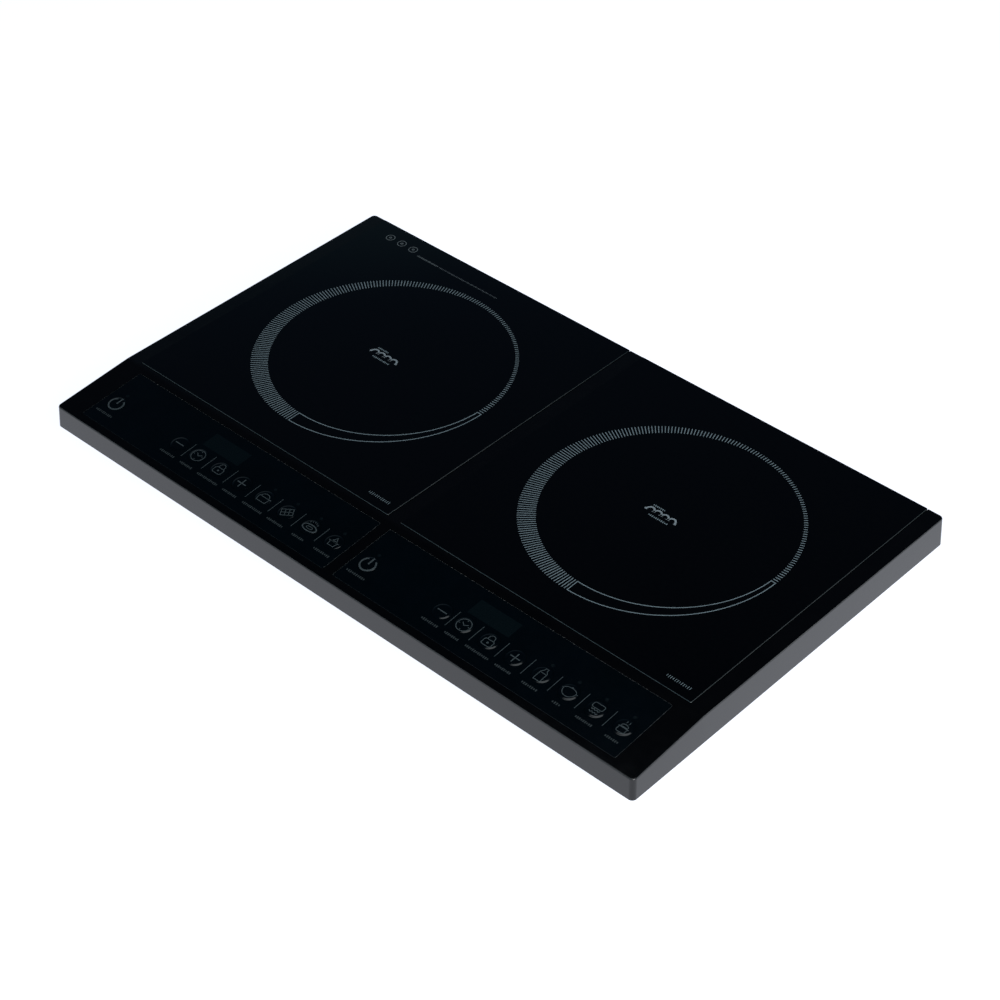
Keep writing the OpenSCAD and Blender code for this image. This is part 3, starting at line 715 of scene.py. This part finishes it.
def bars(mesh, x0, x1, y, height, matrix, bar=0.9 * MM, gap=0.8 * MM):
    """A row of plain upright bars between two places, in place of a word."""
    count = max(1, round((x1 - x0 + gap) / (bar + gap)))
    pitch = (x1 - x0 + gap) / count
    for i in range(count):
        x = x0 + i * pitch + bar / 2
        reach = height / 2 * (1 if i % 3 else 0.7)
        stroke(mesh, [(x, y - reach), (x, y + reach)], bar, matrix)


def make_coil_sign(side, x):
    """A generic coil sign in the middle of the ring, between two short rows of bars."""
    matrix = Matrix.Translation((x - 1.5 * MM, RING_Y + 0.8 * MM, glass_high.z))
    hump = 3.4 * MM
    path = [(-15 * MM, -1.2 * MM)]
    for i in range(4):
        path += arc(((i - 1.5) * 2 * hump, -1.2 * MM), hump, 180, 0, 14, 1.2)
    path.append((15 * MM, -1.2 * MM))
    mesh = bmesh.new()
    stroke(mesh, path, 1.5 * MM, matrix)
    print_on(mesh, f"{side}_coil_sign", "coil_ink")
    mesh = bmesh.new()
    bars(mesh, -12 * MM, -1 * MM, 5.6 * MM, 1.6 * MM, matrix)
    bars(mesh, -8 * MM, 10 * MM, -5.2 * MM, 1.6 * MM, matrix)
    print_on(mesh, f"{side}_coil_sign_rows", "ring_ink")


def make_glass_marks(side):
    """A row of bars at the front right of a plate, and three small rings and a long row at the back left."""
    low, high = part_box(f"{side}_glass")
    matrix = Matrix.Translation((0, 0, high.z))
    mesh = bmesh.new()
    right = high.x - 8.5 * MM
    bars(mesh, right - 21 * MM, right, low.y + 10 * MM, 2.8 * MM, matrix, 0.4 * MM, 1.4 * MM)
    print_on(mesh, f"{side}_front_mark", "ring_ink")
    if side == "left":
        mesh = bmesh.new()
        for i in range(3):
            centre = (-263 * MM + i * 13.5 * MM, 160.5 * MM)
            stroke(mesh, circle(centre, 3.8 * MM, 32), 0.6 * MM, matrix, closed=True)
            stroke(mesh, circle(centre, 0.9 * MM, 16), 0.7 * MM, matrix, closed=True)
        bars(mesh, -227 * MM, -203 * MM, 156.4 * MM, 1.8 * MM, matrix, 0.6 * MM, 0.7 * MM)
        bars(mesh, -201 * MM, -135 * MM, 156.2 * MM, 1.4 * MM, matrix, 0.45 * MM, 1 * MM)
        print_on(mesh, "left_rear_marks", "faint_ink")


# ---- Control films and keys ----

FILM_EDGE = 0.25 * MM
# The film edge's painted highlights, for the rear, the sides and the front.
EDGE_PAINTED_HIGHLIGHTS = ("rear_edge_painted_highlight", "side_edge_painted_highlight", "front_edge_painted_highlight")
# Widths of the rows of bars under the keys, in millimetres.
LABELS = {
    "left": (18, 15.5, 13, 22, 14.5, 20.5, 16.5, 12, 16),
    "right": (18, 15.5, 13, 22, 14.5, 14, 7, 14.5, 11.5),
}


def make_film(side):
    """The film in its recess, with a cut edge carrying a painted highlight (brightest at the rear, fainter on
    the sides, faintest at the front), a hole around each key, and clear windows.
    """
    matrix = film_matrix(side)
    middle = Vector((FILM_W / 2, (FILM_FRONT + FILM_D / 2) * STRETCH, 0))
    mesh = bmesh.new()
    levels = ((0, -FILM_T), (0, -0.1 * MM), (FILM_EDGE, 0))
    outlines = [(round_rect(FILM_W - 2 * inset, FILM_D - 2 * inset, 1.3 * MM - inset, 5, middle), z)
                for inset, z in levels]
    loft(mesh, level_loops(outlines, matrix))
    # Painted highlight: the edge's sloping faces get a bright flecked colour at the rear, a dimmer one on the
    # sides and the dimmest at the front.
    into_film = matrix.inverted()
    for face in mesh.faces:
        at = into_film @ face.calc_center_median() - middle
        if -0.09 * MM < at.z < -0.01 * MM:
            reach = at.y / (FILM_D / 2)
            face.material_index = 1 if reach > 0.99 else 3 if reach < -0.99 else 2
    film = finish_mesh(f"{side}_film", mesh, "film")
    for look in EDGE_PAINTED_HIGHLIGHTS:
        film.data.materials.append(M[look])
    cuts = bmesh.new()
    for p in key_places(side):
        raised(cuts, circle((p.x, p.y), KEY_R + 0.2 * MM, 64), -3 * MM, 3 * MM, matrix)
    boolean(film, cuts, "DIFFERENCE")
    shade(film, 28)
    stand_for(film, f"{side}_control_film", "housing")

    mesh = bmesh.new()
    window = round_rect(39.7 * MM, 15.4 * MM, 0.4 * MM, 3, (122.2 * MM, 50.9 * MM))
    raised(mesh, window, -INK_T, INK_T, matrix)
    print_on(mesh, f"{side}_display_window", "window")
    mesh = bmesh.new()
    for p in lamp_places(side):
        raised(mesh, circle((p.x, p.y), 1.35 * MM, 24), -INK_T, INK_T, matrix)
    print_on(mesh, f"{side}_lamp_windows", "lamp")


def make_film_prints(side):
    """The dividers between the keys, and plain bars in place of words."""
    matrix = film_matrix(side)
    keys = key_places(side)
    mesh = bmesh.new()
    for a, b in zip(keys[1:], keys[2:]):
        x = (a.x + b.x) / 2
        stroke(mesh, [(x, 23.6 * MM), (x, 40.2 * MM)], 0.45 * MM, matrix)
    print_on(mesh, f"{side}_dividers", "sign_ink")
    mesh = bmesh.new()
    for p, width in zip(keys, LABELS[side]):
        half = width * MM / 2
        bars(mesh, p.x - half, p.x + half, 18.8 * MM, 2.1 * MM, matrix, 1 * MM, 0.8 * MM)
    print_on(mesh, f"{side}_labels", "label_ink")


def dome(x, y):
    """Height of a key's face over the film at a place."""
    reach = math.hypot(x, y) / MM
    for (r0, z0), (r1, z1) in zip(KEY_DOME, KEY_DOME[1:]):
        if reach <= r1:
            return (z0 + (z1 - z0) * (reach - r0) / (r1 - r0)) * MM
    return 0


def make_key(side, key, place):
    """A key: flat middle, sloping shoulder, and the stem and plunger below."""
    matrix = film_matrix(side) @ Matrix.Translation(place)
    profile = [*KEY_BODY, *reversed(KEY_DOME[1:])]
    mesh = bmesh.new()
    turned(mesh, [(r * MM, z * MM) for r, z in profile], 64, matrix)
    cap = finish_mesh(f"{side}_{key}_cap", mesh, "film", 40)
    stand_for(cap, f"{side}_{key}_key", f"{side}_{key}_key")

    mesh = bmesh.new()
    name = key if key in SIGNS else f"{side}_{key}"
    for points, closed, width in SIGNS[name]():
        path = [p * MM for p in dense(points, closed)]
        stroke(mesh, path, width * MM, matrix, closed, dome, 4 if width > 1 else 2)
    print_on(mesh, f"{side}_{key}_sign", "sign_ink", f"{side}_{key}_key")


# Signs on the keys: strokes of points in millimetres about the key's centre, closed or not, with their width.

def power_sign():
    return [(arc((0, -0.5), 6.2, 124, 416, 48), False, 1.3), ([(0, -0.2), (0, 7)], False, 1.3)]


def minus_sign():
    return [([(-4.4, 0), (4.4, 0)], False, 0.9)]


def plus_sign():
    return minus_sign() + [([(0, 0.7), (0, 4.4)], False, 0.9), ([(0, -4.4), (0, -0.7)], False, 0.9)]


def timer_sign():
    marks = [([polar(4, a), polar(5, a)], False, 0.6) for a in (0, 90, 180, 270)]
    return [(circle((0, 0), 5.8, 40), True, 0.6), ([(-2.6, 2), (0, -0.4), (3, 1.6)], False, 0.6)] + marks


def lock_sign():
    shackle = [(-2.6, 1.6), *arc((0, 3), 2.6, 180, 0, 10), (2.6, 1.6)]
    return [(round_rect(8.6, 6, 1.4, 4, (0, -1.8)), True, 0.6), (shackle, False, 0.6),
            (circle((0, -1.8), 0.5, 8), True, 0.8)]


def bottle_sign():
    outline = [(-3, -6), (3, -6), (3, 2.2), (1.2, 4.4), (1.2, 6.2), (-1.2, 6.2), (-1.2, 4.4), (-3, 2.2)]
    return [(outline, True, 0.55), ([(-2.6, 1.6), (2.6, 1.6)], False, 0.5)]


def round_pot_sign():
    bowl = arc((0, 1.2), 5.6, 180, 360, 16)
    lid = arc((0, 1.2), 5.6, 0, 180, 14, 0.5)[1:-1]
    return [(bowl + lid, True, 0.55), ([(-0.8, 4.7), (0.8, 4.7)], False, 0.55),
            ([(-6.9, 1.2), (-6, 1.2)], False, 0.55), ([(6, 1.2), (6.9, 1.2)], False, 0.55)]


def steamer_sign():
    def zigzag(y):
        return ([(1.2 * i, y + 1.1 * (i % 2)) for i in range(-3, 4)], False, 0.55)
    return [(round_rect(9.4, 4.6, 1.2, 4, (0, 3)), True, 0.55), zigzag(-1.4), zigzag(-4)]


def steam_pot_sign():
    wisps = [([(x, 3.6), (x + 0.5, 4.6), (x, 5.8)], False, 0.5) for x in (-1.2, 1.2)]
    return [(round_rect(7, 5.2, 1.2, 4, (0, -2.6)), True, 0.55), ([(-4.4, -0.6), (4.4, -0.6)], False, 0.55),
            (arc((0, 0.4), 3, 0, 180, 12, 0.7), False, 0.55)] + wisps


def covered_pan_sign():
    body = [(-5.2, 0.4), (5.2, 0.4), (4.4, -4.6), (-4.4, -4.6)]
    return [(body, True, 0.55), (arc((0, 0.6), 4, 0, 180, 16, 0.85), False, 0.55),
            ([(5.2, 0.6), (6.6, 0.6)], False, 0.7)]


def grill_sign():
    def turn(x, y):
        a = math.radians(32)
        return (x * math.cos(a) - y * math.sin(a), x * math.sin(a) + y * math.cos(a))
    across = [([turn(-4.8, y), turn(4.8, y)], False, 0.55) for y in (-3.2, 0, 3.2)]
    return across + [([turn(x, -3.6), turn(x, 3.6)], False, 0.55) for x in (-4.8, -1.6, 1.6, 4.8)]


def frying_sign():
    rays = [([polar(5, a), polar(6.4, a)], False, 0.55) for a in (50, 70, 90, 110, 130)]
    rims = [(arc((0, -1), 6.6, 0, 360, 40, 0.5)[:-1], True, 0.9),
            (arc((0, -1), 3, 0, 360, 24, 0.4)[:-1], True, 0.55)]
    return rims + rays


def stew_sign():
    body = [(-3.4, 0), (3.4, 0), (2.8, -4.2), (-2.8, -4.2)]
    return [(body, True, 0.55), ([(-5.2, 0), (5.2, 0)], False, 0.6),
            ([(-2, 1.2), (0, 4.6), (2, 1.2)], True, 0.55)]


SIGNS = {
    "power": power_sign, "minus": minus_sign, "timer": timer_sign, "lock": lock_sign, "plus": plus_sign,
    "left_program_1": covered_pan_sign, "left_program_2": grill_sign, "left_program_3": frying_sign,
    "left_program_4": stew_sign, "right_program_1": bottle_sign, "right_program_2": round_pot_sign,
    "right_program_3": steamer_sign, "right_program_4": steam_pot_sign,
}


# ---- Inside ----

def make_coil(side, x):
    """The flat winding of stranded wire, and its two leads down to the power board."""
    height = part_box(f"{side}_coil_winding")[1].z - 1.4 * MM
    wire = 1.3 * MM
    turns, steps = 20, 60
    first, last, lead_out = 28.4 * MM, 83.6 * MM, 96 * MM
    inner_exit, outer_exit = 290, 250
    whole = turns * steps
    path = []
    for i in range(whole + 1):
        angle = inner_exit + (360 * turns + outer_exit - inner_exit) * i / whole
        path.append((*polar(first + (last - first) * i / whole, angle), height))
    path += [(*polar(r, outer_exit), height) for r in (88 * MM, 92 * MM, lead_out)]
    path.append((*polar(lead_out, outer_exit), BOARD_TOP))
    over = height + 2 * wire
    back = [(*polar(first, inner_exit), height + wire), (*polar(first + wire, inner_exit), over)]
    back += [(*polar(r, inner_exit), over) for r in (60 * MM, 88 * MM, lead_out)]
    back.append((*polar(lead_out, inner_exit), BOARD_TOP))
    mesh = bmesh.new()
    tube(mesh, path, wire)
    tube(mesh, back, wire)
    coil = finish_mesh(f"{side}_litz_coil", mesh, "litz", 50)
    coil.data.transform(Matrix.Translation((x, RING_Y, 0)))
    stand_for(coil, f"{side}_coil_winding", "housing")


def blade(mesh, matrix, inner, outer, low, high):
    """One twisted and cambered fan blade as a thin closed solid."""
    rows, columns, half = 6, 6, 0.7 * MM
    grid = []
    for i in range(rows + 1):
        reach = inner + (outer - inner) * i / rows
        span = math.radians(34 - 8 * i / rows)
        line = []
        for j in range(columns + 1):
            v = j / columns - 0.5
            turn = v * span + 0.12 * i / rows
            rise = (low + high) / 2 + (high - low - 2 * half) * (v + 0.1 * math.cos(math.pi * v))
            line.append((reach * math.cos(turn), reach * math.sin(turn), rise))
        grid.append(line)
    top, under = (
        [[mesh.verts.new(matrix @ Vector((x, y, z + s * half))) for x, y, z in line] for line in grid]
        for s in (1, -1))
    for i in range(rows):
        for j in range(columns):
            mesh.faces.new((top[i][j], top[i + 1][j], top[i + 1][j + 1], top[i][j + 1]))
            mesh.faces.new((under[i][j], under[i][j + 1], under[i + 1][j + 1], under[i + 1][j]))
    rim = [(i, 0) for i in range(rows)] + [(rows, j) for j in range(columns)]
    rim += [(i, columns) for i in range(rows, 0, -1)] + [(0, j) for j in range(columns, 0, -1)]
    for (i, j), (k, m) in zip(rim, rim[1:] + rim[:1]):
        mesh.faces.new((top[i][j], under[i][j], under[k][m], top[k][m]))


def make_rotor(side):
    """The fan's rotor: a hub with a soft rim, its shaft, and seven twisted blades."""
    low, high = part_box(f"{side}_fan_rotor")
    centre = (low + high) / 2
    matrix = Matrix.Translation((centre.x, centre.y, 0))
    hub_low, hub_high, hub_r, shaft_r, soft = low.z, low.z + 17 * MM, 18 * MM, 1.5 * MM, 1.5 * MM
    mesh = bmesh.new()
    profile = [(r, hub_low + z) for r, z in arc((hub_r - soft, soft), soft, 270, 360, 5)]
    profile += [(r, hub_high - soft + z) for r, z in arc((hub_r - soft, 0), soft, 0, 90, 5)]
    profile += [(shaft_r, hub_high), (shaft_r, high.z)]
    turned(mesh, profile, 48, matrix)
    blades = 7
    for i in range(blades):
        turn = Matrix.Rotation(2 * math.pi * i / blades, 4, "Z")
        blade(mesh, matrix @ turn, hub_r - 0.8 * MM, 42.3 * MM, hub_low + 0.6 * MM, hub_high - 0.6 * MM)
    rotor = finish_mesh(f"{side}_rotor", mesh, "rotor", 40)
    stand_for(rotor, f"{side}_fan_rotor", f"{side}_fan_rotor")


LOOKS = {
    "bottom_tray": "tray", "rubber_feet": "rubber", "case_screws": "steel", "inner_screws": "steel",
    "rating_plate": "plate", "cord_gland": "gland", "terminal_block": "terminal", "glass_seal": "silicone",
    "key_switches": "switch", "control_board": "board", "coil_former": "former", "ferrite_bars": "ferrite",
    "temp_sensor": "ceramic", "heatsink": "sink", "fan_housing": "fan",
}
BEVELS = {
    "bottom_tray": 0.6, "rubber_feet": 0.6, "cord_gland": 0.5, "terminal_block": 0.5, "coil_former": 0.3,
    "heatsink": 0.2, "fan_housing": 0.6, "temp_sensor": 0.4, "ferrite_bars": 0.3, "case_screws": 0.2,
}


# Where the parts of one node change their look, in millimetres: a power board's choke and tabs from the
# middle of its zone, and the leads from the middle of the body.
CHOKE_X, CHOKE_Y, CHOKE_R = 84, -60, 15.5
TAB_X, TAB_Y = 106, -30
CABLE_Y, INLET_Y, INLET_PITCH = -129, 100, 15
LIVE_X, LIVE_Y, NEUTRAL_X, NEUTRAL_Y = 9.7, -20, 13.2, -12
FILTER_TOP = 13.65 * MM
LEG_H = 2.9 * MM


def paint(thing, looks, pick):
    """Several materials on one CAD node: pick gives the index of a look for each face's centre."""
    thing.data.materials.clear()
    for look in looks:
        thing.data.materials.append(M[look])
    for face in thing.data.polygons:
        face.material_index = pick(thing.matrix_world @ face.center)


def soften(thing, width):
    """Small round edges on a CAD node, added by modifiers."""
    weld = thing.modifiers.new("weld", "WELD")
    weld.merge_threshold = 0.005 * MM
    bevel = thing.modifiers.new("bevel", "BEVEL")
    bevel.width = width * MM
    bevel.segments = 2
    bevel.limit_method = "ANGLE"
    bevel.angle_limit = math.radians(40)
    thing.modifiers.new("normals", "WEIGHTED_NORMAL")


def wire_look(at):
    """Brown, blue or green for a mains lead, or grey for a flat cable, by where it runs."""
    x, y = abs(at.x) / MM, at.y / MM
    if y < CABLE_Y:
        return 3
    if y > INLET_Y:
        return round(at.x / (INLET_PITCH * MM)) + 1
    if x < LIVE_X or y < LIVE_Y:
        return 0
    if x < NEUTRAL_X or y < NEUTRAL_Y:
        return 1
    return 2


def board_look(zone):
    """Picks the look of a power board's face: board, copper choke, tinned tab or black part."""
    def pick(at):
        x, y = (at.x - zone) / MM, at.y / MM
        if at.z < BOARD_TOP + 0.05 * MM:
            return 0
        if math.hypot(x - CHOKE_X, y - CHOKE_Y) < CHOKE_R:
            return 1
        if abs(x) > TAB_X and y > TAB_Y:
            return 2
        return 3
    return pick


def filter_look(at):
    """The filter's board, its copper choke and its yellow capacitor."""
    if at.z < FILTER_TOP:
        return 0
    return 1 if at.x < 0 else 2


def dress_nodes():
    """A procedural material for every CAD node, and soft edges where it stays in sight."""
    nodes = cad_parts
    for name, thing in nodes.items():
        kind = name.removeprefix("left_").removeprefix("right_")
        if kind in LOOKS:
            thing.data.materials.clear()
            thing.data.materials.append(M[LOOKS[kind]])
        if kind in BEVELS:
            soften(thing, BEVELS[kind])
    paint(nodes["wiring_harness"], ("brown", "blue", "green", "ribbon"), wire_look)
    paint(nodes["mains_filter"], ("board", "litz", "box_film"), filter_look)
    for side in SIDES:
        zone = RING_X * (-1 if side == "left" else 1)
        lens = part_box(f"{side}_control_film")[0].x + DISPLAY_MID
        legs = BOARD_TOP + LEG_H
        paint(nodes[f"{side}_main_board"], ("board", "litz", "tinned", "epoxy"), board_look(zone))
        paint(nodes[f"{side}_display"], ("display", "red_lamp"),
              lambda at: int(abs(at.x - lens) > DISPLAY_HALF))
        paint(nodes[f"{side}_power_devices"], ("epoxy", "tinned"), lambda at: int(at.z < legs))
        paint(nodes[f"{side}_capacitors"], ("box_film", "sleeve"), lambda at: int(at.x > zone + 24 * MM))


# ---- Camera, light and floor ----

def make_camera():
    """The photograph's viewing angle."""
    azimuth, elevation, roll = math.radians(43.26), math.radians(40.24), math.radians(-0.546)
    target, distance = Vector((0.0435, -0.0315, glass_high.z)), 1.8454
    back = Vector((math.sin(azimuth) * math.cos(elevation), -math.cos(azimuth) * math.cos(elevation),
                   math.sin(elevation)))
    data = bpy.data.cameras.new("camera")
    data.lens = 88.64
    data.sensor_width = 36
    camera = bpy.data.objects.new("camera", data)
    bpy.context.scene.collection.objects.link(camera)
    camera.location = target + back * distance
    turn = (-back).to_track_quat("-Z", "Y").to_matrix().to_4x4() @ Matrix.Rotation(roll, 4, "Z")
    camera.rotation_euler = turn.to_euler()
    bpy.context.scene.camera = camera


def make_floor():
    """A plain white floor, bright enough to stay white under the soft light."""
    size = 30
    mesh = bmesh.new()
    mesh.faces.new([mesh.verts.new((x * size, y * size, 0)) for x, y in ((-1, -1), (1, -1), (1, 1), (-1, 1))])
    floor = finish_mesh("floor", mesh)
    material, tree, shader = new_material("floor", (0.3, 0.3, 0.3), 0.9)
    shader.inputs["Emission Color"].default_value = (0.86, 0.9, 1.0, 1)
    shader.inputs["Emission Strength"].default_value = 1.06
    shader.inputs["Specular IOR Level"].default_value = 0
    floor.data.materials.append(material)


# The world's colour by how far its direction rises: 0 at the horizon, 1 straight up.
WORLD = (
    (0.0, (1.0, 1.05, 1.12)), (0.17, (0.85, 0.9, 0.97)), (0.30, (0.32, 0.36, 0.4)),
    (0.38, (0.15, 0.18, 0.21)), (0.5, (0.085, 0.12, 0.15)), (0.555, (0.038, 0.072, 0.098)),
    (0.575, (0.02, 0.036, 0.06)), (0.6, (0.017, 0.029, 0.048)), (0.67, (0.013, 0.02, 0.034)),
    (0.73, (0.005, 0.011, 0.021)),
)


def make_light():
    """A world that is bright at the horizon and dark above, and soft lamps."""
    world = bpy.data.worlds.new("world")
    bpy.context.scene.world = world
    world.use_nodes = True
    tree = world.node_tree
    where = tree.nodes.new("ShaderNodeTexCoord")
    split = tree.nodes.new("ShaderNodeSeparateXYZ")
    rise = tree.nodes.new("ShaderNodeValToRGB")
    tree.links.new(where.outputs["Generated"], split.inputs[0])
    tree.links.new(split.outputs["Z"], rise.inputs["Fac"])
    stops = rise.color_ramp.elements
    stops.remove(stops[1])
    stops[0].position, stops[0].color = WORLD[0][0], (*WORLD[0][1], 1)
    for place, colour in WORLD[1:]:
        stops.new(place).color = (*colour, 1)
    tree.links.new(rise.outputs["Color"], tree.nodes["Background"].inputs["Color"])
    tree.nodes["Background"].inputs["Strength"].default_value = 1.0

    def area(name, place, aim, size, radiance, colour=(1, 1, 1)):
        data = bpy.data.lights.new(name, "AREA")
        data.shape = "RECTANGLE"
        data.size, data.size_y = size
        data.energy = radiance * math.pi * size[0] * size[1]
        data.color = colour
        lamp = bpy.data.objects.new(name, data)
        bpy.context.scene.collection.objects.link(lamp)
        lamp.location = place
        lamp.rotation_euler = (Vector(aim) - Vector(place)).to_track_quat("-Z", "Y").to_euler()

    area("key_light", (-0.2, 0.22, 1.5), (-0.2, 0.22, 0), (0.6, 0.4), 1.5, (0.88, 0.96, 1.0))
    area("front_light", (1.5, -0.9, 1.3), (0, 0, 0), (1.2, 1.2), 7.7)
    area("edge_light", (1.28, 0.89, 0.9), (0.2, 0, 0), (0.5, 0.4), 1.8)


make_camera()
dress_nodes()
make_frame()
for side in SIDES:
    zone = RING_X * (-1 if side == "left" else 1)
    make_glass(side)
    make_ring(side, zone)
    make_coil_sign(side, zone)
    make_glass_marks(side)
    make_film(side)
    make_film_prints(side)
    for key, place in zip(KEYS, key_places(side)):
        make_key(side, key, place)
    make_coil(side, zone)
    make_rotor(side)
make_floor()
make_light()
bpy.context.scene.view_settings.view_transform = "Standard"
